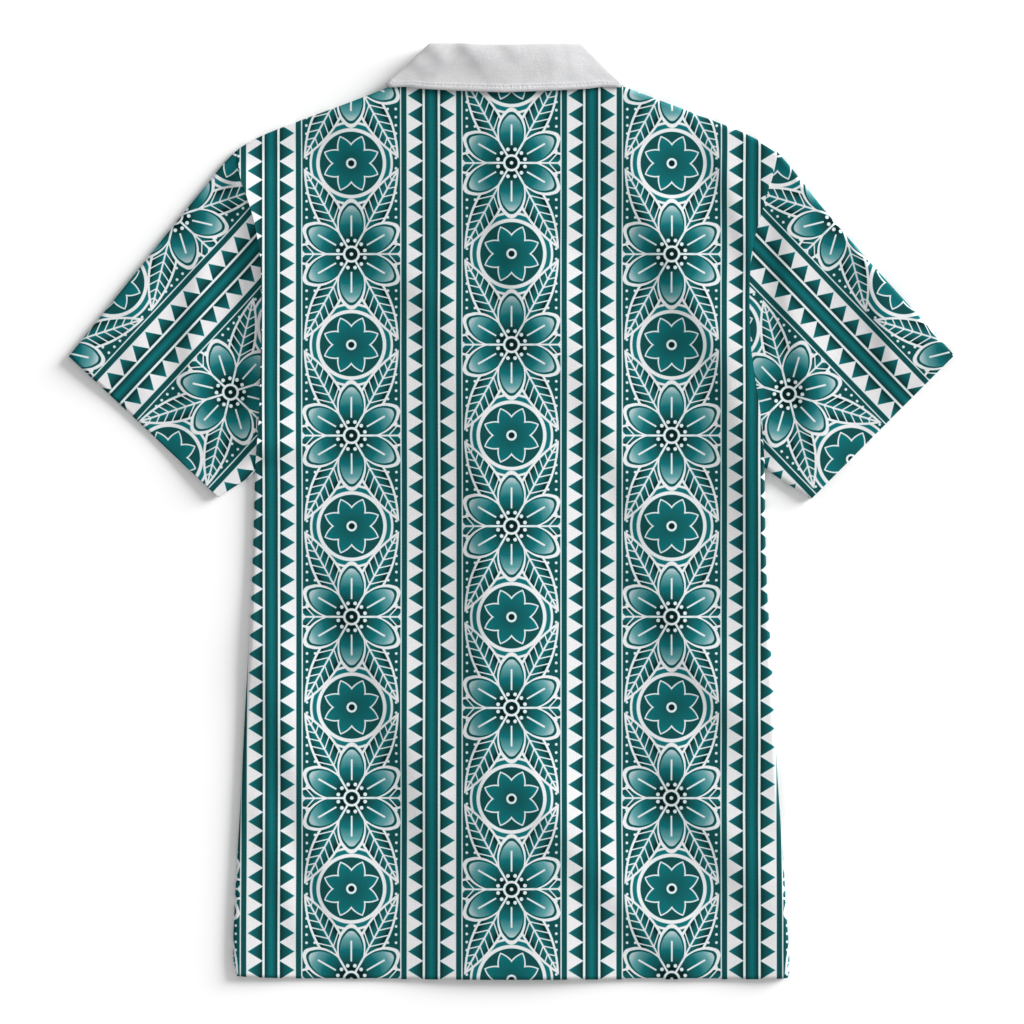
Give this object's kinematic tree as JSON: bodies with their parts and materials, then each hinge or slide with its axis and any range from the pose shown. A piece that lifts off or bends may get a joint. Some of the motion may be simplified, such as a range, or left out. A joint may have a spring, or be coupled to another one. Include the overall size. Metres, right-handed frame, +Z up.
{
  "type": "hawaiian shirt",
  "caption": "Short-sleeved shirt with a plain collar, a buttoned front and an all-over flower and band print, lying flat and face down.",
  "frame": {"origin": "middle of the shirt's outline, on the floor it lies on", "axes": "+Y from the hem to the collar, +Z up from the fronts, which lie on the floor, to the back, +X towards the wearer's right sleeve"},
  "size_m": [0.762, 0.8054, 0.0104],
  "materials": {
    "printed_cloth": "plain-weave cotton and viscose cloth, teal and white print, matte with a soft sheen",
    "collar_cloth": "plain light grey-white woven cloth, matte",
    "button_shell": "pale pearly resin, softly polished"
  },
  "bodies": {
    "root": {"back": "printed_cloth", "front_left": "printed_cloth", "front_right": "printed_cloth", "sleeve_left": "printed_cloth", "sleeve_right": "printed_cloth", "collar": "collar_cloth", "button_1": "button_shell", "button_2": "button_shell", "button_3": "button_shell", "button_4": "button_shell", "button_5": "button_shell", "button_6": "button_shell"}
  },
  "joints": []
}
